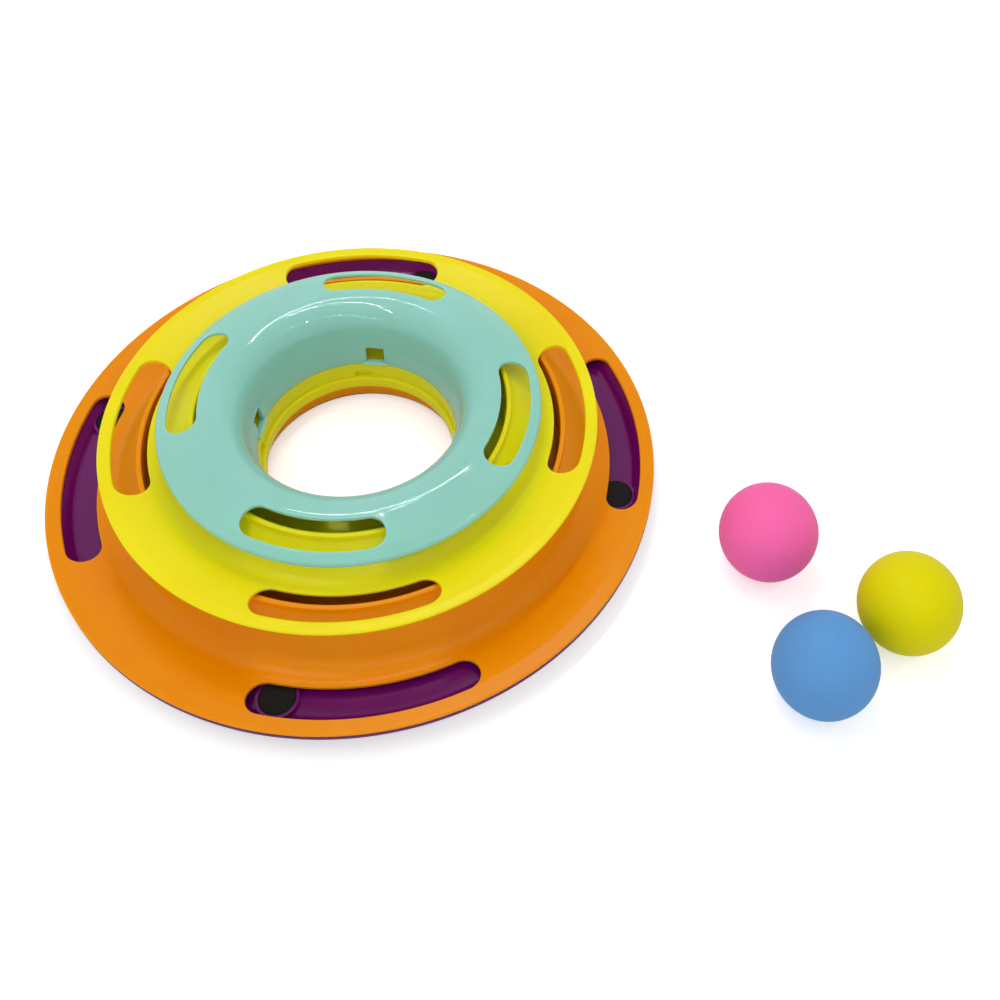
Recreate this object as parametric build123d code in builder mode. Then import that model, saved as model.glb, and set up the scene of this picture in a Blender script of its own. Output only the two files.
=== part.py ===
"""Cat ball track toy: a tray on rubber feet, three nested slotted rings and three loose balls.

Millimetres. The origin is on the axis of the rings at floor level, Z points up, and the balls
lie on the floor at the +X side. Radii are chained from the centre hole outwards and heights
from the floor upwards, so that a change of one size carries its neighbours along.
"""
import os
from math import asin, cos, degrees, radians, sin

from build123d import *

os.makedirs("parts", exist_ok=True)

# Shared sizes
wall = 1.6
rim_gap = 0.3
ridge_width = 2.0
ridge_height = 2.8
overrun = 1.0
quarter_count = 4
quarter_turn = 90.0
slot_half_sweep = 18.4

# Middle ring, radii
spigot_radius = 38.8
collar_step = 1.3
middle_well_width = 20.3
middle_well_flare = 1.4
middle_wall_run = 13.7
middle_brim_width = 18.1
middle_land_width = 3.7
middle_collar_radius = spigot_radius + collar_step
middle_well_radius = middle_collar_radius + middle_well_width
middle_ridge_inner = middle_well_radius + middle_well_flare
middle_ridge_radius = middle_ridge_inner + ridge_width
middle_cove_radius = middle_ridge_radius + middle_wall_run
middle_land_radius = middle_cove_radius + middle_brim_width
middle_rim_radius = middle_land_radius + middle_land_width

# Lower ring, radii
seat_setback = 0.4
lower_collar_setback = 3.2
lower_ridge_cover = 8.7
lower_well_flare = 0.8
lower_wall_run = 12.8
lower_brim_width = 20.2
lower_land_width = 5.8
lower_seat_radius = spigot_radius + seat_setback
lower_collar_radius = spigot_radius + lower_collar_setback
lower_ridge_radius = middle_cove_radius + lower_ridge_cover
lower_ridge_inner = lower_ridge_radius - ridge_width
lower_well_radius = lower_ridge_inner - lower_well_flare
lower_cove_radius = lower_ridge_radius + lower_wall_run
lower_land_radius = lower_cove_radius + lower_brim_width
lower_rim_radius = lower_land_radius + lower_land_width

# Top ring, radii
top_collar_gap = 0.3
top_funnel_run = 6.75
top_shoulder_cover = 7.4
top_rim_run = 4.9
top_collar_radius = middle_collar_radius + top_collar_gap
top_crown_radius = top_collar_radius + top_funnel_run
top_shoulder_radius = middle_ridge_radius + top_shoulder_cover
top_rim_radius = top_shoulder_radius + top_rim_run

# Tray, radii
tray_rim_width = 5.4
tray_slope_run = 3.9
tray_rim_under_inset = 0.6
tray_floor_under_inset = 0.9
hub_gap = 3.2
tray_hole_setback = 0.9
tray_radius = lower_rim_radius
tray_lip_radius = tray_radius - tray_rim_width
tray_floor_radius = tray_lip_radius - tray_slope_run
tray_wall_under_radius = tray_lip_radius + tray_rim_under_inset
tray_under_radius = tray_floor_radius + tray_floor_under_inset
hub_inner_radius = lower_ridge_radius + hub_gap
hub_outer_radius = hub_inner_radius + wall
tray_hole_radius = lower_collar_radius + tray_hole_setback

# Lower ring, heights
tray_plate = wall
lower_well_rise = 8.7
lower_cove_lift = 0.7
lower_brim_rise = 3.5
lower_wall_rise = 19.4
lower_well_floor = tray_plate + lower_well_rise
lower_cove_top = lower_well_floor + lower_cove_lift
lower_rim_top = lower_cove_top + lower_brim_rise
lower_ridge_foot = lower_cove_top + lower_wall_rise
lower_ridge_top = lower_ridge_foot + ridge_height

# Middle ring, heights
spigot_height = 5.3
middle_collar_height = 8.0
middle_cove_lift = 1.1
middle_brim_rise = 5.0
middle_wall_rise = 8.9
middle_ledge_top = lower_well_floor + spigot_height
middle_well_floor = middle_ledge_top + middle_collar_height
middle_cove_top = lower_ridge_top + middle_cove_lift
middle_rim_top = middle_cove_top + middle_brim_rise
middle_ridge_foot = middle_cove_top + middle_wall_rise
middle_ridge_top = middle_ridge_foot + ridge_height

# Top ring, heights
top_rim_lift = 5.3
top_rim_height = 2.0
top_shoulder_rise = 2.5
top_crown_rise = 4.75
top_collar_height = 6.4
top_rim_under = middle_rim_top + top_rim_lift
top_rim_edge = top_rim_under + top_rim_height
top_shoulder_top = top_rim_edge + top_shoulder_rise
top_crown_top = top_shoulder_top + top_crown_rise
top_collar_top = middle_well_floor + top_collar_height

# Tray, heights
tray_rim_height = 2.2
tray_depth = 5.1
hub_height = 9.5
tray_rim_top = lower_rim_top - wall - rim_gap
tray_rim_under = tray_rim_top - tray_rim_height
tray_floor_top = tray_rim_top - tray_depth
tray_floor_under = tray_floor_top - wall
hub_top = tray_floor_top + hub_height

# Roundings
tray_cove = 2.5
land_round = 4.0
lower_cove = 9.0
middle_cove = 8.0
top_rim_round_extra = 0.4
top_shoulder_round = 10.0
top_crown_round = 14.0
top_collar_round = 20.0
top_rim_round = wall + top_rim_round_extra

# Paw slots
lower_slot_width = 13.0
lower_slot_inset = 12.4
lower_slot_turn = 12.6
lower_slot_radius = lower_rim_radius - lower_slot_inset
middle_slot_width = 12.85
middle_slot_inset = 11.46
middle_slot_turn = 9.8
middle_slot_radius = middle_rim_radius - middle_slot_inset
top_slot_width = 12.05
top_slot_inset = 10.4
top_slot_turn = -0.8
top_slot_radius = top_rim_radius - top_slot_inset

# Windows and sills
lower_window_width = 8.0
lower_window_height = 6.0
lower_window_lift = 4.2
lower_window_low = lower_well_floor + lower_window_lift
middle_window_width = 7.0
middle_window_height = 5.0
middle_window_lift = 10.4
middle_window_low = middle_well_floor + middle_window_lift
middle_notch_height = 4.0
top_window_turn = 1.0
top_window_width = 8.0
top_window_height = 8.0
top_window_lift = 1.6
top_window_low = middle_well_floor + top_window_lift
sill_width = 10.5
sill_height = 1.0
sill_reach = 1.2

# Rubber feet
foot_inset = 5.7
foot_turn = -4.0
foot_pad_radius = 9.0
foot_pad_edge = 0.8
foot_plug_radius = 6.65
foot_plug_edge = 0.5
foot_fit = 0.15
foot_proud = 0.2
boss_radius = 8.0
boss_height = 1.9
foot_orbit = tray_floor_radius - foot_inset
boss_top = tray_floor_top + boss_height
foot_top = boss_top + foot_proud

# Balls, their places given as shares of their radius
ball_radius = 20.0
ball_wall = 1.2
ball_gap = 26.8
seam_tongue = 1.2
seam_fit = 0.05
seam_share = 0.45
pink_across_share = -1.36
yellow_along_share = 2.695
yellow_across_share = -2.71
blue_along_share = 0.955
blue_across_share = -4.175
pink_seam_turn = 40.0
yellow_seam_turn = 100.0
blue_seam_turn = -25.0
pink_along = lower_rim_radius + ball_gap + ball_radius
yellow_along = pink_along + ball_radius * yellow_along_share
blue_along = pink_along + ball_radius * blue_along_share
balls = [
    ("pink_ball", pink_along, ball_radius * pink_across_share, pink_seam_turn),
    ("yellow_ball", yellow_along, ball_radius * yellow_across_share, yellow_seam_turn),
    ("blue_ball", blue_along, ball_radius * blue_across_share, blue_seam_turn),
]

# Tray
tray_points = [
    (tray_radius, tray_rim_top),
    (tray_lip_radius, tray_rim_top),
    (tray_floor_radius, tray_floor_top),
    (hub_outer_radius, tray_floor_top),
    (hub_outer_radius, hub_top),
    (hub_inner_radius, hub_top),
    (hub_inner_radius, tray_plate),
    (tray_hole_radius, tray_plate),
    (tray_hole_radius, 0),
    (hub_outer_radius, 0),
    (hub_outer_radius, tray_floor_under),
    (tray_under_radius, tray_floor_under),
    (tray_wall_under_radius, tray_rim_under),
    (tray_radius, tray_rim_under),
]
tray_rounds = [0] * len(tray_points)
tray_rounds[tray_points.index((tray_floor_radius, tray_floor_top))] = tray_cove
tray_rounds[tray_points.index((tray_under_radius, tray_floor_under))] = tray_cove + wall
with BuildPart() as base_tray:
    with BuildSketch(Plane.XZ):
        with BuildLine():
            FilletPolyline(*tray_points, radius=tray_rounds, close=True)
        make_face()
    revolve(axis=Axis.Z)
    with BuildSketch(Plane.XY.offset(tray_floor_under)):
        with PolarLocations(foot_orbit, quarter_count, start_angle=foot_turn):
            Circle(boss_radius)
    extrude(amount=boss_top - tray_floor_under)
    with BuildSketch(Plane.XY.offset(tray_floor_under)):
        with PolarLocations(foot_orbit, quarter_count, start_angle=foot_turn):
            Circle(foot_plug_radius + foot_fit)
    extrude(amount=boss_top - tray_floor_under, mode=Mode.SUBTRACT)
base_tray.part.label = "base_tray"
export_step(base_tray.part, "parts/base_tray.step")

# Rubber feet
for count, side in enumerate(("right", "back", "left", "front")):
    turn = radians(foot_turn + count * quarter_turn)
    spot = (foot_orbit * cos(turn), foot_orbit * sin(turn), 0)
    with BuildPart(Plane(spot)) as foot:
        Cylinder(foot_pad_radius, tray_floor_under, align=(Align.CENTER, Align.CENTER, Align.MIN))
        chamfer(foot.edges().group_by(Axis.Z)[0], foot_pad_edge)
        Cylinder(foot_plug_radius, foot_top, align=(Align.CENTER, Align.CENTER, Align.MIN))
        chamfer(foot.edges().group_by(Axis.Z)[-1], foot_plug_edge)
    foot.part.label = f"rubber_foot_{side}"
    export_step(foot.part, f"parts/rubber_foot_{side}.step")

# Lower ring
with BuildPart() as lower_ring:
    with BuildSketch(Plane.XZ):
        with BuildLine():
            FilletPolyline(
                (lower_rim_radius, lower_rim_top),
                (lower_land_radius, lower_rim_top),
                (lower_cove_radius, lower_cove_top),
                (lower_ridge_radius, lower_ridge_foot),
                (lower_ridge_radius, lower_ridge_top),
                radius=(land_round, lower_cove, 0),
            )
            offset(amount=wall, side=Side.LEFT)
        make_face()
    revolve(axis=Axis.Z)
    with BuildSketch(Plane.XZ):
        with BuildLine():
            Polyline(
                (lower_ridge_inner, lower_ridge_top),
                (lower_well_radius, lower_well_floor),
                (lower_seat_radius, lower_well_floor),
                (lower_seat_radius, lower_well_floor - wall),
                (lower_collar_radius, lower_well_floor - wall),
                (lower_collar_radius, tray_plate),
                (lower_collar_radius + wall, tray_plate),
                (lower_collar_radius + wall, lower_well_floor - wall),
                (lower_well_radius + wall, lower_well_floor - wall),
                (lower_ridge_inner + wall, lower_ridge_top),
                close=True,
            )
        make_face()
    revolve(axis=Axis.Z)
    with BuildSketch(Plane.XY.offset(lower_well_floor - wall)):
        with PolarLocations(0, quarter_count, start_angle=lower_slot_turn):
            SlotArc(
                Edge.make_circle(
                    lower_slot_radius,
                    start_angle=-slot_half_sweep,
                    end_angle=slot_half_sweep,
                ),
                lower_slot_width,
            )
    extrude(amount=lower_ridge_top - lower_well_floor, mode=Mode.SUBTRACT)
    with Locations((0, 0, lower_window_low)):
        with PolarLocations(lower_well_radius + wall / 2, quarter_count, start_angle=lower_slot_turn):
            Box(
                wall + 2 * overrun,
                lower_window_width,
                lower_window_height,
                align=(Align.CENTER, Align.CENTER, Align.MIN),
                mode=Mode.SUBTRACT,
            )
lower_ring.part.label = "lower_ring"
export_step(lower_ring.part, "parts/lower_ring.step")

# Middle ring
with BuildPart() as middle_ring:
    with BuildSketch(Plane.XZ):
        with BuildLine():
            FilletPolyline(
                (middle_rim_radius, middle_rim_top),
                (middle_land_radius, middle_rim_top),
                (middle_cove_radius, middle_cove_top),
                (middle_ridge_radius, middle_ridge_foot),
                (middle_ridge_radius, middle_ridge_top),
                radius=(land_round, middle_cove, 0),
            )
            offset(amount=wall, side=Side.LEFT)
        make_face()
    revolve(axis=Axis.Z)
    with BuildSketch(Plane.XZ):
        with BuildLine():
            Polyline(
                (middle_ridge_inner, middle_ridge_top),
                (middle_well_radius, middle_well_floor),
                (middle_collar_radius, middle_well_floor),
                (middle_collar_radius, middle_ledge_top),
                (spigot_radius, middle_ledge_top),
                (spigot_radius, lower_well_floor),
                (spigot_radius + wall, lower_well_floor),
                (spigot_radius + wall, middle_ledge_top - wall),
                (middle_collar_radius + wall, middle_ledge_top - wall),
                (middle_collar_radius + wall, middle_well_floor - wall),
                (middle_well_radius + wall, middle_well_floor - wall),
                (middle_ridge_inner + wall, middle_ridge_top),
                close=True,
            )
        make_face()
    revolve(axis=Axis.Z)
    with BuildSketch(Plane.XY.offset(middle_cove_top - wall - overrun)):
        with PolarLocations(0, quarter_count, start_angle=middle_slot_turn):
            SlotArc(
                Edge.make_circle(
                    middle_slot_radius,
                    start_angle=-slot_half_sweep,
                    end_angle=slot_half_sweep,
                ),
                middle_slot_width,
            )
    extrude(amount=middle_ridge_top - middle_cove_top, mode=Mode.SUBTRACT)
    with Locations((0, 0, middle_window_low)):
        with PolarLocations(middle_well_radius + wall, quarter_count, start_angle=middle_slot_turn):
            Box(
                wall + 2 * overrun,
                middle_window_width,
                middle_window_height,
                align=(Align.CENTER, Align.CENTER, Align.MIN),
                mode=Mode.SUBTRACT,
            )
    with Locations((0, 0, middle_ledge_top)):
        with PolarLocations(middle_collar_radius + wall / 2, quarter_count, start_angle=middle_slot_turn):
            Box(
                wall + 2 * overrun,
                middle_window_width,
                middle_notch_height,
                align=(Align.CENTER, Align.CENTER, Align.MIN),
                mode=Mode.SUBTRACT,
            )
middle_ring.part.label = "middle_ring"
export_step(middle_ring.part, "parts/middle_ring.step")

# Top ring
with BuildPart() as top_ring:
    with BuildSketch(Plane.XZ):
        with BuildLine():
            FilletPolyline(
                (top_rim_radius, top_rim_under),
                (top_rim_radius, top_rim_edge),
                (top_shoulder_radius, top_shoulder_top),
                (top_crown_radius, top_crown_top),
                (top_collar_radius, top_collar_top),
                (top_collar_radius, middle_well_floor),
                radius=(top_rim_round, top_shoulder_round, top_crown_round, top_collar_round),
            )
            offset(amount=wall, side=Side.LEFT)
        make_face()
    revolve(axis=Axis.Z)
    with BuildSketch(Plane.XY.offset(top_rim_under)):
        with PolarLocations(0, quarter_count, start_angle=top_slot_turn):
            SlotArc(
                Edge.make_circle(
                    top_slot_radius,
                    start_angle=-slot_half_sweep,
                    end_angle=slot_half_sweep,
                ),
                top_slot_width,
            )
    extrude(amount=top_crown_top - top_rim_under, mode=Mode.SUBTRACT)
    with Locations((0, 0, top_window_low)):
        with PolarLocations(top_collar_radius + wall / 2, quarter_count, start_angle=top_window_turn):
            Box(
                wall + 2 * overrun,
                top_window_width,
                top_window_height,
                align=(Align.CENTER, Align.CENTER, Align.MIN),
                mode=Mode.SUBTRACT,
            )
    with Locations((0, 0, top_window_low)):
        with PolarLocations(top_collar_radius + wall / 2, quarter_count, start_angle=top_window_turn):
            Box(
                wall / 2 + sill_reach,
                sill_width,
                sill_height,
                align=(Align.MAX, Align.CENTER, Align.MAX),
            )
top_ring.part.label = "top_ring"
export_step(top_ring.part, "parts/top_ring.step")

# Balls, each of two half shells with a tongue on one and a rebate in the other
shell_inner = ball_radius - ball_wall
tongue_outer = shell_inner + ball_wall * seam_share
rebate_radius = tongue_outer + seam_fit
rebate_depth = seam_tongue + seam_fit
rebate_angle = degrees(asin(rebate_depth / shell_inner))
for ball_name, ball_x, ball_y, seam_turn in balls:
    centre = (ball_x, ball_y, ball_radius)
    across = (cos(radians(seam_turn)), sin(radians(seam_turn)), 0)
    ball_plane = Plane(
        centre,
        x_dir=(0, 0, 1),
        z_dir=(-sin(radians(seam_turn)), cos(radians(seam_turn)), 0),
    )
    with BuildPart() as tongue_half:
        with BuildSketch(ball_plane):
            with BuildLine():
                CenterArc((0, 0), ball_radius, 0, quarter_turn)
                Line((0, ball_radius), (0, shell_inner))
                CenterArc((0, 0), shell_inner, 0, quarter_turn)
                Polyline(
                    (shell_inner, 0),
                    (shell_inner, -seam_tongue),
                    (tongue_outer, -seam_tongue),
                    (tongue_outer, 0),
                    (ball_radius, 0),
                )
            make_face()
        revolve(axis=Axis(centre, across))
    tongue_half.part.label = f"{ball_name}_tongue_half"
    export_step(tongue_half.part, f"parts/{ball_name}_tongue_half.step")
    with BuildPart() as rebate_half:
        with BuildSketch(ball_plane):
            with BuildLine():
                CenterArc((0, 0), ball_radius, 0, -quarter_turn)
                Line((0, -ball_radius), (0, -shell_inner))
                CenterArc((0, 0), shell_inner, -rebate_angle, rebate_angle - quarter_turn)
                Polyline(
                    (shell_inner * cos(radians(rebate_angle)), -rebate_depth),
                    (rebate_radius, -rebate_depth),
                    (rebate_radius, 0),
                    (ball_radius, 0),
                )
            make_face()
        revolve(axis=Axis(centre, across))
    rebate_half.part.label = f"{ball_name}_rebate_half"
    export_step(rebate_half.part, f"parts/{ball_name}_rebate_half.step")
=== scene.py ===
"""Looks of the cat ball track toy: moulded rings with rounded paw slots, a tray, rubber feet and balls.

Sizes are in millimetres in the classes and become metres where a mesh is made. Each piece replaces
its CAD node and rides on the node's body.
"""

import logging
import math
from dataclasses import dataclass
from enum import Enum
from typing import NamedTuple

import bmesh
import bpy
from mathutils import Matrix, Vector


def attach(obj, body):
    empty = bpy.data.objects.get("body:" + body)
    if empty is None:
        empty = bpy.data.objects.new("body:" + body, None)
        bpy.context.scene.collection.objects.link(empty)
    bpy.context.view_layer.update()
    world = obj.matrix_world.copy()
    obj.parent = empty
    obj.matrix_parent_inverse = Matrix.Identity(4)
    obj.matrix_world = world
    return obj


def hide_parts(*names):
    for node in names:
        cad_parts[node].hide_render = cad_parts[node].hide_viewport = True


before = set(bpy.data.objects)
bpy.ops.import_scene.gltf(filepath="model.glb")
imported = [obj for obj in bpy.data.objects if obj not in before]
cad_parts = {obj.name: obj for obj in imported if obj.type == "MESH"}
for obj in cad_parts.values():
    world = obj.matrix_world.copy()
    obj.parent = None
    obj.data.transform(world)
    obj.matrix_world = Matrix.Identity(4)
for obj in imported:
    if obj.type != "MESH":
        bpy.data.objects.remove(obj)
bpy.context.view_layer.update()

LOG = logging.getLogger("cat_toy")
MM = 0.001
FULL_TURN = 2 * math.pi
MERGE_DISTANCE = 1e-6
SHARP_ANGLE = math.radians(38)
WIDE_ROUNDING = 1.5
WIDE_FACETS = 8
NARROW_FACETS = 4
WALL = 1.6
FOOT_ORBIT = 110.0
FOOT_TURN = -4.0

Colour = tuple[float, float, float, float]
Point = tuple[float, float, float]


class Side(Enum):
    """The four quarters of the toy, by their turn from +X in degrees."""

    RIGHT = 0
    BACK = 90
    LEFT = 180
    FRONT = 270


class Corner(NamedTuple):
    """A corner of a turned section: its radius, its height and the radius that rounds it."""

    radius: float
    height: float
    rounding: float = 0.0


def srgb(red: int, green: int, blue: int) -> Colour:
    """The linear colour of an sRGB one.

    Args:
        red, green, blue: channels from 0 to 255.

    Returns:
        Linear red, green, blue and an alpha of 1.
    """
    linear = []
    for channel in (red, green, blue):
        share = channel / 255
        linear.append(share / 12.92 if share <= 0.04045 else ((share + 0.055) / 1.055) ** 2.4)
    return (*linear, 1.0)


@dataclass(frozen=True)
class Plastic:
    """A moulded plastic or rubber with faint cloudiness, uneven gloss and a fine skin."""

    name: str
    slot: str
    colour: Colour
    deep: Colour
    gloss_low: float = 0.2
    gloss_high: float = 0.28
    shine: float = 0.12
    glow: float = 0.0
    glow_spread: Point = (1.0, 0.6, 0.3)
    glow_depth: float = 3.0
    cloud_scale: float = 22.0
    cloud_low: float = 0.3
    cloud_high: float = 0.7
    smear_scale: float = 66.0
    skin_scale: float = 900.0
    skin_strength: float = 0.04
    skin_height: float = 0.2
    noise_detail: float = 3.0

    def material(self) -> bpy.types.Material:
        """Builds the finish once and returns it.

        Returns:
            The material, made at its first call and shared after that.
        """
        made = bpy.data.materials.get(self.name)
        if made is not None:
            return made
        made = bpy.data.materials.new(self.name)
        made.use_nodes = True
        tree = made.node_tree
        shader = tree.nodes["Principled BSDF"]
        shader.inputs["Specular IOR Level"].default_value = self.shine
        shader.inputs["Subsurface Weight"].default_value = self.glow
        shader.inputs["Subsurface Radius"].default_value = self.glow_spread
        shader.inputs["Subsurface Scale"].default_value = self.glow_depth * MM
        place = tree.nodes.new("ShaderNodeTexCoord")
        self._cloud_colour(tree, place, shader)
        self._uneven_gloss(tree, place, shader)
        self._fine_skin(tree, place, shader)
        return made

    def _noise(self, tree: bpy.types.NodeTree, place: bpy.types.Node, scale: float) -> bpy.types.Node:
        """Adds a noise on Object coordinates.

        Args:
            tree: the material's nodes.
            place: its Texture Coordinate node.
            scale: waves per metre.

        Returns:
            The noise node.
        """
        noise = tree.nodes.new("ShaderNodeTexNoise")
        noise.inputs["Scale"].default_value = scale
        noise.inputs["Detail"].default_value = self.noise_detail
        tree.links.new(place.outputs["Object"], noise.inputs["Vector"])
        return noise

    def _cloud_colour(self, tree: bpy.types.NodeTree, place: bpy.types.Node, shader: bpy.types.Node) -> None:
        """Mixes the colour with its deeper shade in soft clouds.

        Args:
            tree: the material's nodes.
            place: its Texture Coordinate node.
            shader: the node that takes the colour.
        """
        cloud = self._noise(tree, place, self.cloud_scale)
        ramp = tree.nodes.new("ShaderNodeValToRGB")
        deep, pale = ramp.color_ramp.elements
        deep.position = self.cloud_low
        deep.color = self.deep
        pale.position = self.cloud_high
        pale.color = self.colour
        tree.links.new(cloud.outputs["Fac"], ramp.inputs["Fac"])
        tree.links.new(ramp.outputs["Color"], shader.inputs["Base Color"])

    def _uneven_gloss(self, tree: bpy.types.NodeTree, place: bpy.types.Node, shader: bpy.types.Node) -> None:
        """Lets the gloss vary as on a handled moulding.

        Args:
            tree: the material's nodes.
            place: its Texture Coordinate node.
            shader: the node that takes the roughness.
        """
        smear = self._noise(tree, place, self.smear_scale)
        spread = tree.nodes.new("ShaderNodeMapRange")
        spread.inputs["To Min"].default_value = self.gloss_low
        spread.inputs["To Max"].default_value = self.gloss_high
        tree.links.new(smear.outputs["Fac"], spread.inputs["Value"])
        tree.links.new(spread.outputs["Result"], shader.inputs["Roughness"])

    def _fine_skin(self, tree: bpy.types.NodeTree, place: bpy.types.Node, shader: bpy.types.Node) -> None:
        """Adds the fine texture of the mould.

        Args:
            tree: the material's nodes.
            place: its Texture Coordinate node.
            shader: the node that takes the normal.
        """
        grain = self._noise(tree, place, self.skin_scale)
        bump = tree.nodes.new("ShaderNodeBump")
        bump.inputs["Strength"].default_value = self.skin_strength
        bump.inputs["Distance"].default_value = self.skin_height * MM
        tree.links.new(grain.outputs["Fac"], bump.inputs["Height"])
        tree.links.new(bump.outputs["Normal"], shader.inputs["Normal"])


PURPLE = Plastic("purple_moulding", "purple_plastic", srgb(108, 12, 102), srgb(98, 8, 92),
                 gloss_low=0.08, gloss_high=0.14, shine=0.25, skin_strength=0.02)
RUBBER = Plastic("black_foot_rubber", "black_rubber", srgb(18, 17, 16), srgb(14, 13, 12),
                 gloss_low=0.6, gloss_high=0.75, shine=0.15, skin_scale=1500.0, skin_strength=0.1)
ORANGE = Plastic("orange_moulding", "orange_plastic", srgb(250, 152, 0), srgb(246, 146, 0), glow=0.8)
YELLOW = Plastic("yellow_moulding", "yellow_plastic", srgb(240, 228, 22), srgb(235, 221, 16), glow=0.8)
MINT = Plastic("mint_moulding", "mint_plastic", srgb(151, 210, 198), srgb(145, 205, 192),
               gloss_low=0.05, gloss_high=0.08, shine=0.4, glow=0.8, glow_spread=(0.8, 1.0, 0.9),
               skin_strength=0.006)
PINK_BALL = Plastic("pink_ball_plastic", "pink_ball", srgb(255, 114, 182), srgb(255, 106, 175),
                    gloss_low=0.45, gloss_high=0.55, shine=0.1)
YELLOW_BALL = Plastic("yellow_ball_plastic", "yellow_ball", srgb(233, 222, 0), srgb(228, 216, 0),
                      gloss_low=0.45, gloss_high=0.55, shine=0.1)
BLUE_BALL = Plastic("blue_ball_plastic", "blue_ball", srgb(100, 160, 220), srgb(95, 154, 215),
                    gloss_low=0.45, gloss_high=0.55, shine=0.1)


def run_between(a: Corner, b: Corner) -> Vector:
    """The way from one corner to the next, in radius and height."""
    return Vector((b.radius - a.radius, b.height - a.height))


def meeting(a: Corner, b: Corner, c: Corner, d: Corner) -> tuple[float, float]:
    """Where the line through a and b meets the line through c and d.

    Args:
        a, b: two points of the first line.
        c, d: two points of the second line.

    Returns:
        Radius and height of the meeting point.
    """
    first, second = run_between(a, b), run_between(c, d)
    share = run_between(a, c).cross(second) / first.cross(second)
    return a.radius + share * first.x, a.height + share * first.y


def beside(a: Corner, b: Corner, gap: float) -> tuple[Corner, Corner]:
    """The stretch from a to b, moved by gap to its left.

    Args:
        a, b: the ends of the stretch.
        gap: how far it moves.

    Returns:
        The moved ends.
    """
    run = run_between(a, b).normalized()
    shift = Vector((-run.y, run.x)) * gap
    return Corner(a.radius + shift.x, a.height + shift.y), Corner(b.radius + shift.x, b.height + shift.y)


def underside(path: list[Corner], wall: float, end_rounding: float) -> list[Corner]:
    """The other side of a sheet, one wall to the left of its face.

    Args:
        path: the face's corners, from the rim inwards.
        wall: the sheet's thickness.
        end_rounding: rounding of its two end corners.

    Returns:
        The underside's corners in the same order.
    """
    runs = [beside(a, b, wall) for a, b in zip(path, path[1:])]
    corners = [runs[0][0]._replace(rounding=end_rounding)]
    for (a, b), (c, d), face in zip(runs, runs[1:], path[1:]):
        turn = run_between(a, b).cross(run_between(c, d))
        rounding = face.rounding + wall if turn < 0 else max(face.rounding - wall, 0.0)
        corners.append(Corner(*meeting(a, b, c, d), rounding if face.rounding else 0.0))
    corners.append(runs[-1][1]._replace(rounding=end_rounding))
    return corners


def rounded_section(bm: bmesh.types.BMesh, corners: list[Corner]) -> None:
    """Draws a closed section in the XZ plane and rounds its corners.

    Args:
        bm: an empty mesh that takes the section.
        corners: the section's corners in order.
    """
    verts = [bm.verts.new((c.radius * MM, 0, c.height * MM)) for c in corners]
    bm.faces.new(verts)
    for index, (vert, corner) in enumerate(zip(verts, corners)):
        if not corner.rounding:
            continue
        inward = run_between(corners[index - 1], corner)
        outward = run_between(corner, corners[(index + 1) % len(corners)])
        reach = corner.rounding * math.tan(inward.angle(outward) / 2)
        facets = WIDE_FACETS if corner.rounding > WIDE_ROUNDING else NARROW_FACETS
        bmesh.ops.bevel(bm, geom=[vert], offset=reach * MM, offset_type="OFFSET", affect="VERTICES",
                        segments=facets, profile=0.5, clamp_overlap=True, material=-1)
    bmesh.ops.delete(bm, geom=bm.faces[:], context="FACES_ONLY")


def turn_about_z(bm: bmesh.types.BMesh, steps: int) -> None:
    """Spins the section's edges once round Z and closes the shape.

    Args:
        bm: the mesh with the section's edges.
        steps: facets in the whole turn.
    """
    on_axis = [e for e in bm.edges if max(abs(v.co.x) for v in e.verts) < MERGE_DISTANCE]
    bmesh.ops.delete(bm, geom=on_axis, context="EDGES")
    bmesh.ops.spin(bm, geom=bm.verts[:] + bm.edges[:], cent=(0, 0, 0), axis=(0, 0, 1), dvec=(0, 0, 0),
                   angle=FULL_TURN, steps=steps, use_merge=True, use_normal_flip=False, use_duplicate=False)
    bmesh.ops.remove_doubles(bm, verts=bm.verts[:], dist=MERGE_DISTANCE)
    bmesh.ops.recalc_face_normals(bm, faces=bm.faces[:])


def turned(degrees: float) -> Matrix:
    """A turn about Z."""
    return Matrix.Rotation(math.radians(degrees), 4, "Z")


def moved(x: float, y: float, z: float) -> Matrix:
    """A move, given in millimetres."""
    return Matrix.Translation(Vector((x, y, z)) * MM)


def as_object(bm: bmesh.types.BMesh, name: str) -> bpy.types.Object:
    """Turns a finished bmesh into an object at the origin.

    Args:
        bm: the mesh, which is freed.
        name: the object's name.

    Returns:
        The new object, linked to the scene.
    """
    mesh = bpy.data.meshes.new(name)
    bm.to_mesh(mesh)
    bm.free()
    made = bpy.data.objects.new(name, mesh)
    bpy.context.scene.collection.objects.link(made)
    return made


def combine(base: bpy.types.Object, tool: bpy.types.Object, operation: str) -> None:
    """Cuts a tool out of a piece, or joins it on, and removes the tool.

    Args:
        base: the piece that is changed.
        tool: the other shape.
        operation: DIFFERENCE or UNION.
    """
    step = base.modifiers.new(operation.lower(), "BOOLEAN")
    step.operation = operation
    step.solver = "EXACT"
    step.object = tool
    bpy.context.view_layer.update()
    graph = bpy.context.evaluated_depsgraph_get()
    result = bpy.data.meshes.new_from_object(base.evaluated_get(graph))
    base.modifiers.clear()
    base.data = result
    bpy.data.objects.remove(tool)


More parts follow.
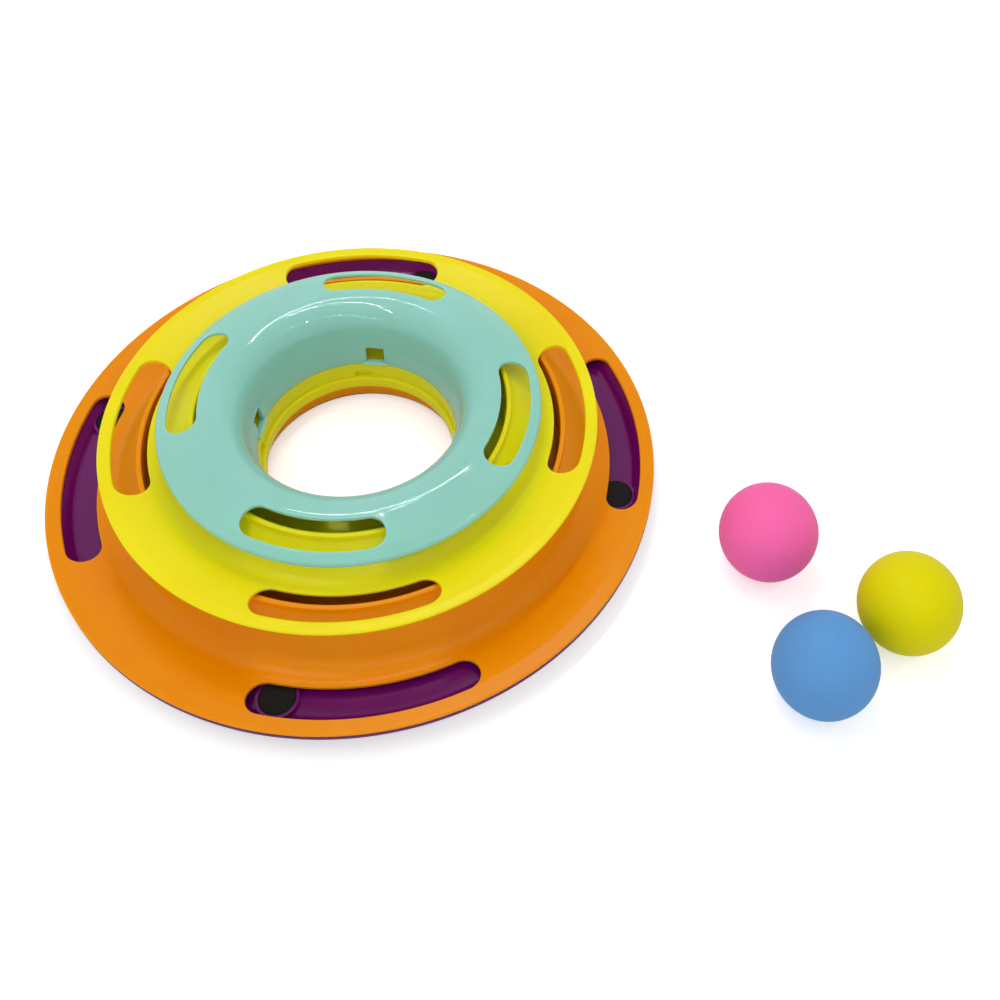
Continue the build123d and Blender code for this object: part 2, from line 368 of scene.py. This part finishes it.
def dress(piece: bpy.types.Object, finish: Plastic, body: str, node: str) -> None:
    """Gives a piece smooth shading and its finish, and sets it on its body.

    Args:
        piece: the new piece.
        finish: its plastic.
        body: the CAD body that it rides on.
        node: the CAD node that it replaces.
    """
    piece.data.materials.clear()
    piece.data.materials.append(finish.material())
    piece.data.shade_smooth()
    piece.data.set_sharp_from_angle(angle=SHARP_ANGLE)
    weigh = piece.modifiers.new("face_weighted_normals", "WEIGHTED_NORMAL")
    weigh.keep_sharp = True
    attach(piece, body)
    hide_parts(node)
    LOG.info("%s: %d faces", piece.name, len(piece.data.polygons))


def brim_height(path: list[Corner], radius: float) -> float:
    """Height of a brim's face at a radius.

    Args:
        path: the face's corners, from the rim inwards.
        radius: where it is asked.

    Returns:
        The height on the straight stretch there.
    """
    for outer, inner in zip(path, path[1:]):
        if inner.radius <= radius <= outer.radius and outer.radius > inner.radius:
            share = (outer.radius - radius) / (outer.radius - inner.radius)
            return outer.height + share * (inner.height - outer.height)
    return path[0].height


@dataclass(frozen=True)
class PawSlots:
    """Four curved slots with rounded upper edges, cut through a sloping brim."""

    radius: float
    width: float
    turn: float
    half_sweep: float = 18.4
    edge_round: float = 0.45
    flare_degrees: tuple[int, ...] = (0, 25, 50, 72)
    over: float = 4.0
    arc_steps: int = 40
    end_steps: int = 20

    def levels(self) -> list[tuple[float, float]]:
        """Outset and height of the cutter's loops, from below the sheet to above it.

        Returns:
            Pairs of outset and height.
        """
        angles = [math.radians(degrees) for degrees in self.flare_degrees]
        flare = [(self.edge_round * (1 - math.cos(a)), self.edge_round * (math.sin(a) - 1)) for a in angles]
        return [(0.0, -self.over), *flare, (flare[-1][0], self.over)]

    def loop(self, bm: bmesh.types.BMesh, half_width: float, height: float) -> list[bmesh.types.BMEdge]:
        """Draws one closed slot outline at a height.

        Args:
            bm: the mesh that takes it.
            half_width: half the slot's width.
            height: the loop's height.

        Returns:
            The outline's edges.
        """
        sweep = math.radians(self.half_sweep)
        start = Vector((math.cos(sweep), -math.sin(sweep), 0))
        finish = Vector((math.cos(sweep), math.sin(sweep), 0))
        lift = Vector((0, 0, height * MM))
        old = set(bm.verts)
        tip = bm.verts.new(start * (self.radius + half_width) * MM + lift)
        runs = (
            (Vector((0, 0, 0)), 2 * sweep, self.arc_steps),
            (finish * self.radius * MM, math.pi, self.end_steps),
            (Vector((0, 0, 0)), -2 * sweep, self.arc_steps),
            (start * self.radius * MM, math.pi, self.end_steps),
        )
        for centre, angle, steps in runs:
            made = bmesh.ops.spin(bm, geom=[tip], cent=centre, axis=(0, 0, 1), dvec=(0, 0, 0), angle=angle,
                                  steps=steps, use_merge=False, use_normal_flip=False, use_duplicate=False)
            tip = next(g for g in made["geom_last"] if isinstance(g, bmesh.types.BMVert))
        fresh = [v for v in bm.verts if v not in old]
        bmesh.ops.remove_doubles(bm, verts=fresh, dist=MERGE_DISTANCE)
        return list({e for v in bm.verts if v not in old for e in v.link_edges})

    def cutter(self, path: list[Corner]) -> bpy.types.Object:
        """Makes the shape that cuts the four slots, bent to follow the brim.

        Args:
            path: the brim's face, from the rim inwards.

        Returns:
            The cutter.
        """
        bm = bmesh.new()
        loops = [self.loop(bm, self.width / 2 + outset, height) for outset, height in self.levels()]
        for low, high in zip(loops, loops[1:]):
            bmesh.ops.bridge_loops(bm, edges=low + high)
        for end in (loops[0], loops[-1]):
            bmesh.ops.contextual_create(bm, geom=end)
        for vert in bm.verts:
            vert.co.z += brim_height(path, vert.co.xy.length / MM) * MM
        bmesh.ops.transform(bm, matrix=turned(self.turn), verts=bm.verts[:])
        first = bm.verts[:] + bm.edges[:] + bm.faces[:]
        for side in list(Side)[1:]:
            copy = bmesh.ops.duplicate(bm, geom=first)["geom"]
            bmesh.ops.transform(bm, matrix=turned(side.value),
                                verts=[g for g in copy if isinstance(g, bmesh.types.BMVert)])
        bmesh.ops.recalc_face_normals(bm, faces=bm.faces[:])
        return as_object(bm, "slot_cutter")


@dataclass(frozen=True)
class Blocks:
    """Four small rounded blocks round the axis: windows to cut, or sills to join on."""

    inner: float
    outer: float
    low: float
    width: float
    height: float
    turn: float
    rounding: float = 0.5
    facets: int = 3

    def shape(self) -> bpy.types.Object:
        """Makes the four blocks as one object.

        Returns:
            The shape.
        """
        bm = bmesh.new()
        depth = self.outer - self.inner
        stretch = Matrix.Diagonal((depth * MM, self.width * MM, self.height * MM, 1.0))
        middle = moved(self.inner + depth / 2, 0, self.low + self.height / 2)
        for side in Side:
            place = turned(self.turn + side.value) @ middle @ stretch
            bmesh.ops.create_cube(bm, size=1.0, matrix=place)
        bmesh.ops.bevel(bm, geom=bm.edges[:], offset=self.rounding * MM, offset_type="OFFSET", affect="EDGES",
                        segments=self.facets, profile=0.5, material=-1)
        return as_object(bm, "blocks")


@dataclass(kw_only=True)
class TrackRing:
    """A turned ring with paw slots and windows, ridden by the body of its own name."""

    name: str
    finish: Plastic
    slots: PawSlots
    windows: tuple[Blocks, ...]
    sills: tuple[Blocks, ...] = ()
    edge: float = 0.6
    steps: int = 288

    def face(self) -> list[Corner]:
        """The corners of the upper face, from the rim inwards."""
        raise NotImplementedError

    def section(self) -> list[Corner]:
        """The corners of the closed section: the face, and back along its underside."""
        return self.face() + underside(self.face(), WALL, self.edge)[::-1]

    def build(self) -> bpy.types.Object:
        """Turns the section, cuts the openings and dresses the ring.

        Returns:
            The finished piece.
        """
        bm = bmesh.new()
        rounded_section(bm, self.section())
        turn_about_z(bm, self.steps)
        piece = as_object(bm, f"{self.name}_moulding")
        combine(piece, self.slots.cutter(self.face()), "DIFFERENCE")
        for window in self.windows:
            combine(piece, window.shape(), "DIFFERENCE")
        for sill in self.sills:
            combine(piece, sill.shape(), "UNION")
        dress(piece, self.finish, self.name, self.name)
        return piece


@dataclass(kw_only=True)
class SteppedRing(TrackRing):
    """A ring with a flat rim, a sloping brim, a cove, a wall up to a ridge, and a well inside it."""

    rim_radius: float
    rim_height: float
    rim_round: float
    land_radius: float
    cove_radius: float
    cove_height: float
    cove_round: float
    ridge_radius: float
    ridge_foot: float
    ridge_top: float
    well_radius: float
    well_floor: float
    well_round: float
    under_round: float
    land_round: float = 4.0
    shoulder_round: float = 1.2
    ridge_width: float = 2.0
    step_round: float = 0.4
    fine_round: float = 0.3

    def face(self) -> list[Corner]:
        """The corners of the upper face, from the rim up to the ridge.

        Returns:
            Its corners in order.
        """
        return [
            Corner(self.rim_radius, self.rim_height, self.rim_round),
            Corner(self.land_radius, self.rim_height, self.land_round),
            Corner(self.cove_radius, self.cove_height, self.cove_round),
            Corner(self.ridge_radius, self.ridge_foot, self.shoulder_round),
            Corner(self.ridge_radius, self.ridge_top, self.edge),
        ]

    def collar(self) -> list[Corner]:
        """The corners of the collar, down from the well's floor and back up outside."""
        raise NotImplementedError

    def section(self) -> list[Corner]:
        """The closed section: the face, the well and its collar, and back along the underside.

        Returns:
            Its corners in order.
        """
        ridge_inside = Corner(self.ridge_radius - self.ridge_width, self.ridge_top, self.edge)
        foot_inside = Corner(self.well_radius, self.well_floor, self.well_round)
        foot_outside = Corner(self.well_radius + WALL, self.well_floor - WALL, self.under_round)
        ridge_outside = Corner(ridge_inside.radius + WALL, self.ridge_top)
        under = underside(self.face(), WALL, self.edge)
        apex = Corner(*meeting(foot_outside, ridge_outside, under[-3], under[-2]))
        return [*self.face(), ridge_inside, foot_inside, *self.collar(), foot_outside, apex, *under[-3::-1]]


@dataclass(kw_only=True)
class LowerRing(SteppedRing):
    """The orange ring, whose collar stands on the tray and whose well holds the middle ring."""

    name: str = "lower_ring"
    finish: Plastic = ORANGE
    slots: PawSlots = PawSlots(radius=112.6, width=13.0, turn=12.6)
    windows: tuple[Blocks, ...] = (
        Blocks(inner=82.0, outer=87.4, low=14.5, width=8.0, height=6.0, turn=12.6),
    )
    rim_radius: float = 125.0
    rim_height: float = 14.5
    rim_round: float = 0.6
    land_radius: float = 119.2
    cove_radius: float = 99.0
    cove_height: float = 11.0
    cove_round: float = 9.0
    ridge_radius: float = 86.2
    ridge_foot: float = 30.4
    ridge_top: float = 33.2
    well_radius: float = 83.4
    well_floor: float = 10.3
    well_round: float = 1.2
    under_round: float = 0.4
    seat_radius: float = 39.2
    seat_round: float = 0.25
    collar_radius: float = 42.0
    collar_foot: float = 1.6

    def collar(self) -> list[Corner]:
        """The seat's lip and the collar below it.

        Returns:
            Their corners in order.
        """
        ceiling = self.well_floor - WALL
        outside = self.collar_radius + WALL
        return [
            Corner(self.seat_radius, self.well_floor, self.seat_round),
            Corner(self.seat_radius, ceiling, self.fine_round),
            Corner(self.collar_radius, ceiling, self.step_round),
            Corner(self.collar_radius, self.collar_foot, self.fine_round),
            Corner(outside, self.collar_foot, self.fine_round),
            Corner(outside, ceiling, self.step_round),
        ]


@dataclass(kw_only=True)
class MiddleRing(SteppedRing):
    """The yellow ring, whose collar steps in to a spigot that stands in the lower ring."""

    name: str = "middle_ring"
    finish: Plastic = YELLOW
    slots: PawSlots = PawSlots(radius=87.84, width=12.85, turn=9.8)
    windows: tuple[Blocks, ...] = (
        Blocks(inner=59.0, outer=63.0, low=34.0, width=7.0, height=5.0, turn=9.8),
        Blocks(inner=39.0, outer=40.9, low=15.65, width=7.0, height=4.0, turn=9.8, rounding=0.3),
    )
    rim_radius: float = 99.3
    rim_height: float = 39.3
    rim_round: float = 0.75
    land_radius: float = 95.6
    cove_radius: float = 77.5
    cove_height: float = 34.3
    cove_round: float = 8.0
    ridge_radius: float = 63.8
    ridge_foot: float = 43.2
    ridge_top: float = 46.0
    well_radius: float = 60.4
    well_floor: float = 23.6
    well_round: float = 1.0
    under_round: float = 0.6
    collar_radius: float = 40.1
    ledge: float = 15.6
    spigot_radius: float = 38.8
    spigot_foot: float = 10.3
    spigot_round: float = 0.2

    def collar(self) -> list[Corner]:
        """The collar, its ledge and the spigot below it.

        Returns:
            Their corners in order.
        """
        ceiling = self.well_floor - WALL
        under_ledge = self.ledge - WALL
        collar_outside = self.collar_radius + WALL
        spigot_outside = self.spigot_radius + WALL
        return [
            Corner(self.collar_radius, self.well_floor, self.step_round),
            Corner(self.collar_radius, self.ledge, self.step_round),
            Corner(self.spigot_radius, self.ledge, self.fine_round),
            Corner(self.spigot_radius, self.spigot_foot, self.spigot_round),
            Corner(spigot_outside, self.spigot_foot, self.spigot_round),
            Corner(spigot_outside, under_ledge, self.fine_round),
            Corner(collar_outside, under_ledge, self.fine_round),
            Corner(collar_outside, ceiling, self.step_round),
        ]


@dataclass(kw_only=True)
class TopRing(TrackRing):
    """The mint ring, a domed cover with a funnel down to its collar."""

    name: str = "top_ring"
    finish: Plastic = MINT
    slots: PawSlots = PawSlots(radius=65.7, width=12.05, turn=-0.8)
    windows: tuple[Blocks, ...] = (
        Blocks(inner=39.0, outer=44.5, low=25.2, width=8.0, height=8.0, turn=1.0),
    )
    sills: tuple[Blocks, ...] = (
        Blocks(inner=39.2, outer=41.2, low=24.2, width=10.5, height=1.0, turn=1.0, rounding=0.2),
    )
    edge: float = 0.3
    rim_radius: float = 76.1
    rim_foot: float = 44.6
    rim_foot_round: float = 0.4
    rim_top: float = 46.6
    rim_round: float = 2.0
    shoulder_radius: float = 71.2
    shoulder_height: float = 49.1
    shoulder_round: float = 10.0
    crown_radius: float = 47.15
    crown_height: float = 53.85
    crown_round: float = 14.0
    collar_radius: float = 40.4
    collar_top: float = 30.0
    funnel_round: float = 20.0
    collar_foot: float = 23.6

    def face(self) -> list[Corner]:
        """The corners of the upper face, from the rim over the crown to the collar's foot.

        Returns:
            Its corners in order.
        """
        return [
            Corner(self.rim_radius, self.rim_foot, self.rim_foot_round),
            Corner(self.rim_radius, self.rim_top, self.rim_round),
            Corner(self.shoulder_radius, self.shoulder_height, self.shoulder_round),
            Corner(self.crown_radius, self.crown_height, self.crown_round),
            Corner(self.collar_radius, self.collar_top, self.funnel_round),
            Corner(self.collar_radius, self.collar_foot, self.edge),
        ]


@dataclass
class Tray:
    """The purple tray with its hub wall, flat ring and four bosses for the feet."""

    rim_radius: float = 125.0
    rim_top: float = 12.6
    rim_foot: float = 10.4
    rim_inside: float = 119.6
    rim_inside_under: float = 120.2
    rim_foot_round: float = 0.7
    floor_radius: float = 115.7
    floor_radius_under: float = 116.6
    floor_top: float = 7.5
    floor_foot: float = 5.9
    floor_round: float = 2.5
    floor_round_under: float = 4.1
    hub_radius: float = 91.0
    hub_inside: float = 89.4
    hub_top: float = 17.0
    plate_top: float = 1.6
    hole_radius: float = 42.9
    plate_round: float = 0.6
    corner_round: float = 1.0
    bend_round: float = 0.8
    hub_round: float = 0.5
    edge: float = 0.4
    boss_radius: float = 8.0
    boss_foot: float = 6.5
    boss_top: float = 9.4
    bore_radius: float = 6.8
    bore_foot: float = 4.0
    bore_top: float = 12.0
    post_facets: int = 64
    steps: int = 288

    def section(self) -> list[Corner]:
        """The tray's closed section.

        Returns:
            Its corners in order.
        """
        return [
            Corner(self.rim_radius, self.rim_top, self.edge),
            Corner(self.rim_inside, self.rim_top, self.bend_round),
            Corner(self.floor_radius, self.floor_top, self.floor_round),
            Corner(self.hub_radius, self.floor_top, self.corner_round),
            Corner(self.hub_radius, self.hub_top, self.hub_round),
            Corner(self.hub_inside, self.hub_top, self.hub_round),
            Corner(self.hub_inside, self.plate_top, self.corner_round),
            Corner(self.hole_radius, self.plate_top, self.edge),
            Corner(self.hole_radius, 0.0, self.edge),
            Corner(self.hub_radius, 0.0, self.plate_round),
            Corner(self.hub_radius, self.floor_foot, self.hub_round),
            Corner(self.floor_radius_under, self.floor_foot, self.floor_round_under),
            Corner(self.rim_inside_under, self.rim_foot, self.bend_round),
            Corner(self.rim_radius, self.rim_foot, self.rim_foot_round),
        ]

    def posts(self, radius: float, low: float, high: float, name: str) -> bpy.types.Object:
        """Four round posts at the feet, to join on or to cut.

        Args:
            radius: their radius.
            low, high: their ends.
            name: the shape's name.

        Returns:
            The shape.
        """
        bm = bmesh.new()
        for side in Side:
            place = turned(FOOT_TURN + side.value) @ moved(FOOT_ORBIT, 0, (low + high) / 2)
            bmesh.ops.create_cone(bm, cap_ends=True, segments=self.post_facets, radius1=radius * MM,
                                  radius2=radius * MM, depth=(high - low) * MM, matrix=place)
        return as_object(bm, name)

    def build(self) -> bpy.types.Object:
        """Turns the tray, adds its bosses and bores them.

        Returns:
            The finished piece.
        """
        bm = bmesh.new()
        rounded_section(bm, self.section())
        turn_about_z(bm, self.steps)
        piece = as_object(bm, "tray_moulding")
        combine(piece, self.posts(self.boss_radius, self.boss_foot, self.boss_top, "bosses"), "UNION")
        combine(piece, self.posts(self.bore_radius, self.bore_foot, self.bore_top, "holes"), "DIFFERENCE")
        dress(piece, PURPLE, "base", "base_tray")
        return piece


@dataclass
class Foot:
    """A rubber foot: a round pad under the tray and a plug that shows on its boss."""

    side: Side
    pad_radius: float = 9.0
    pad_top: float = 5.9
    pad_round: float = 0.9
    shoulder_round: float = 0.3
    plug_radius: float = 6.65
    plug_top: float = 9.6
    neck_round: float = 0.1
    plug_round: float = 0.5
    steps: int = 64

    def section(self) -> list[Corner]:
        """The foot's closed section.

        Returns:
            Its corners in order.
        """
        return [
            Corner(0.0, 0.0),
            Corner(self.pad_radius, 0.0, self.pad_round),
            Corner(self.pad_radius, self.pad_top, self.shoulder_round),
            Corner(self.plug_radius, self.pad_top, self.neck_round),
            Corner(self.plug_radius, self.plug_top, self.plug_round),
            Corner(0.0, self.plug_top),
        ]

    def build(self) -> bpy.types.Object:
        """Turns the foot and moves it to its boss.

        Returns:
            The finished piece.
        """
        bm = bmesh.new()
        rounded_section(bm, self.section())
        turn_about_z(bm, self.steps)
        place = turned(FOOT_TURN + self.side.value) @ moved(FOOT_ORBIT, 0, 0)
        bmesh.ops.transform(bm, matrix=place, verts=bm.verts[:])
        node = f"rubber_foot_{self.side.name.lower()}"
        piece = as_object(bm, f"{node}_plug")
        dress(piece, RUBBER, "base", node)
        return piece


class Half(Enum):
    """The two half shells of a ball, named for what closes their seam."""

    TONGUE = 1
    REBATE = -1


@dataclass
class Ball:
    """A hollow ball of two half shells that meet at a fine seam."""

    name: str
    finish: Plastic
    x: float
    y: float
    seam_turn: float
    radius: float = 20.0
    wall: float = 1.2
    seam_round: float = 0.05
    tongue: float = 1.2
    tongue_share: float = 0.45
    fit: float = 0.05
    arc_steps: int = 40
    steps: int = 96

    def half_section(self, bm: bmesh.types.BMesh, half: Half) -> None:
        """Draws one half's section in the XZ plane, with the seam at height 0.

        Args:
            bm: an empty mesh that takes it.
            half: which half.
        """
        inner = self.radius - self.wall
        lip = inner + self.wall * self.tongue_share
        outer_start = math.asin(self.seam_round / self.radius)
        points = [Corner(self.radius - self.seam_round, 0)]
        inner_start = 0.0
        if half is Half.TONGUE:
            points += [Corner(lip, 0), Corner(lip, -self.tongue), Corner(inner, -self.tongue)]
        else:
            deep = self.tongue + self.fit
            points += [Corner(lip + self.fit, 0), Corner(lip + self.fit, deep)]
            inner_start = math.asin(deep / inner)
        chain = [bm.verts.new((p.radius * MM, 0, p.height * MM)) for p in points]
        for end, radius, start in ((chain[0], self.radius, outer_start), (chain[-1], inner, inner_start)):
            tip = bm.verts.new((radius * math.cos(start) * MM, 0, radius * math.sin(start) * MM))
            bm.edges.new((end, tip))
            bmesh.ops.spin(bm, geom=[tip], cent=(0, 0, 0), axis=(0, -1, 0), dvec=(0, 0, 0),
                           angle=math.pi / 2 - start, steps=self.arc_steps, use_merge=False,
                           use_normal_flip=False, use_duplicate=False)
        for a, b in zip(chain, chain[1:]):
            bm.edges.new((a, b))

    def build(self, half: Half) -> bpy.types.Object:
        """Turns one half and sets it in place.

        Args:
            half: which half.

        Returns:
            The finished piece.
        """
        bm = bmesh.new()
        self.half_section(bm, half)
        turn_about_z(bm, self.steps)
        seam = math.radians(self.seam_turn)
        across = Vector((math.cos(seam), math.sin(seam), 0)) * half.value
        lay = across.to_track_quat("Z", "Y").to_matrix().to_4x4()
        bmesh.ops.transform(bm, matrix=moved(self.x, self.y, self.radius) @ lay, verts=bm.verts[:])
        node = f"{self.name}_{half.name.lower()}_half"
        piece = as_object(bm, f"{node}_shell")
        dress(piece, self.finish, self.name, node)
        return piece


@dataclass(frozen=True)
class LampRow:
    """A row of small square lamps, as in a light tent, from one place to another."""

    name: str
    start: Point
    end: Point
    watts: float = 0.055
    lamps: int = 20
    size: float = 12.0
    aim: Point = (40.0, -20.0, 20.0)

    def build(self) -> None:
        """Hangs the lamps, each facing the toy."""
        for index in range(self.lamps):
            spot = Vector(self.start).lerp(Vector(self.end), index / (self.lamps - 1)) * MM
            data = bpy.data.lights.new(f"{self.name}_{index}", "AREA")
            data.size = self.size * MM
            data.energy = self.watts
            made = bpy.data.objects.new(data.name, data)
            bpy.context.scene.collection.objects.link(made)
            facing = (Vector(self.aim) * MM - spot).to_track_quat("-Z", "Y")
            made.matrix_world = Matrix.Translation(spot) @ facing.to_matrix().to_4x4()


@dataclass
class Studio:
    """A white floor, even light with rows of small lamps, and the photograph's camera."""

    camera_place: Point = (97.507, -282.149, 398.66)
    pitch: float = 47.569
    roll: float = 5.042
    lens: float = 40.204
    sensor: float = 36.0
    shift: tuple[float, float] = (-0.10, -0.15)
    clip: tuple[float, float] = (0.01, 50.0)
    floor_size: float = 8000.0
    floor_grey: float = 0.9
    floor_lift: float = 0.44
    floor_roughness: float = 0.9
    sky_light: float = 0.62
    sky_seen: float = 1.0
    rows: tuple[LampRow, ...] = (
        LampRow("top_strip", (20, 240, 800), (-280, -320, 800)),
        LampRow("front_strip", (560, -80, 800), (-300, -1000, 700)),
        LampRow("back_strip", (-220, 340, 750), (160, 300, 750), watts=0.04),
    )

    def camera(self) -> bpy.types.Object:
        """Places the camera.

        Returns:
            The scene's camera.
        """
        data = bpy.data.cameras.new("camera")
        data.lens = self.lens
        data.sensor_width = self.sensor
        data.shift_x, data.shift_y = self.shift
        data.clip_start, data.clip_end = self.clip
        made = bpy.data.objects.new("camera", data)
        bpy.context.scene.collection.objects.link(made)
        pitch, roll = math.radians(self.pitch), math.radians(self.roll)
        forward = Vector((0, math.cos(pitch), -math.sin(pitch)))
        level_right = Vector((1, 0, 0))
        level_down = Vector((0, -math.sin(pitch), -math.cos(pitch)))
        right = level_right * math.cos(roll) - level_down * math.sin(roll)
        up = -(level_right * math.sin(roll) + level_down * math.cos(roll))
        turn = Matrix((right, up, -forward)).transposed()
        made.matrix_world = moved(*self.camera_place) @ turn.to_4x4()
        bpy.context.scene.camera = made
        return made

    def floor(self) -> None:
        """Lays the pale floor, lifted to white for the camera and keeping the shadow."""
        bm = bmesh.new()
        bmesh.ops.create_grid(bm, x_segments=1, y_segments=1, size=self.floor_size / 2 * MM)
        made = as_object(bm, "studio_floor")
        paint = bpy.data.materials.new("floor_paint")
        paint.use_nodes = True
        tree = paint.node_tree
        shader = tree.nodes["Principled BSDF"]
        shader.inputs["Base Color"].default_value = (self.floor_grey, self.floor_grey, self.floor_grey, 1)
        shader.inputs["Roughness"].default_value = self.floor_roughness
        shader.inputs["Specular IOR Level"].default_value = 0.0
        shader.inputs["Emission Color"].default_value = (1, 1, 1, 1)
        seen = tree.nodes.new("ShaderNodeLightPath")
        lift = tree.nodes.new("ShaderNodeMath")
        lift.operation = "MULTIPLY"
        lift.inputs[1].default_value = self.floor_lift
        tree.links.new(seen.outputs["Is Camera Ray"], lift.inputs[0])
        tree.links.new(lift.outputs["Value"], shader.inputs["Emission Strength"])
        made.data.materials.append(paint)

    def sky(self) -> None:
        """Fills the room with even white light, and shows it white to the camera and in reflections."""
        world = bpy.data.worlds.new("studio")
        world.use_nodes = True
        tree = world.node_tree
        light = tree.nodes["Background"]
        light.inputs["Color"].default_value = (1, 1, 1, 1)
        seen = tree.nodes.new("ShaderNodeLightPath")
        rays = seen.outputs["Is Camera Ray"]
        for other in ("Is Glossy Ray", "Is Transmission Ray"):
            either = tree.nodes.new("ShaderNodeMath")
            either.operation = "MAXIMUM"
            tree.links.new(rays, either.inputs[0])
            tree.links.new(seen.outputs[other], either.inputs[1])
            rays = either.outputs["Value"]
        level = tree.nodes.new("ShaderNodeMapRange")
        level.inputs["To Min"].default_value = self.sky_light
        level.inputs["To Max"].default_value = self.sky_seen
        tree.links.new(rays, level.inputs["Value"])
        tree.links.new(level.outputs["Result"], light.inputs["Strength"])
        bpy.context.scene.world = world

    def build(self) -> None:
        """Sets up the room."""
        self.floor()
        self.sky()
        for row in self.rows:
            row.build()
        self.camera()
        bpy.context.scene.view_settings.view_transform = "Standard"


def main() -> None:
    """Builds every piece and the room."""
    logging.basicConfig(level=logging.INFO, format="%(name)s %(message)s")
    Tray().build()
    for side in Side:
        Foot(side).build()
    for ring in (LowerRing(), MiddleRing(), TopRing()):
        ring.build()
    balls = (
        Ball("pink_ball", PINK_BALL, x=171.8, y=-27.2, seam_turn=40.0),
        Ball("yellow_ball", YELLOW_BALL, x=225.7, y=-54.2, seam_turn=100.0),
        Ball("blue_ball", BLUE_BALL, x=190.9, y=-83.5, seam_turn=-25.0),
    )
    for ball in balls:
        for half in Half:
            ball.build(half)
    Studio().build()


if __name__ == "__main__":
    main()
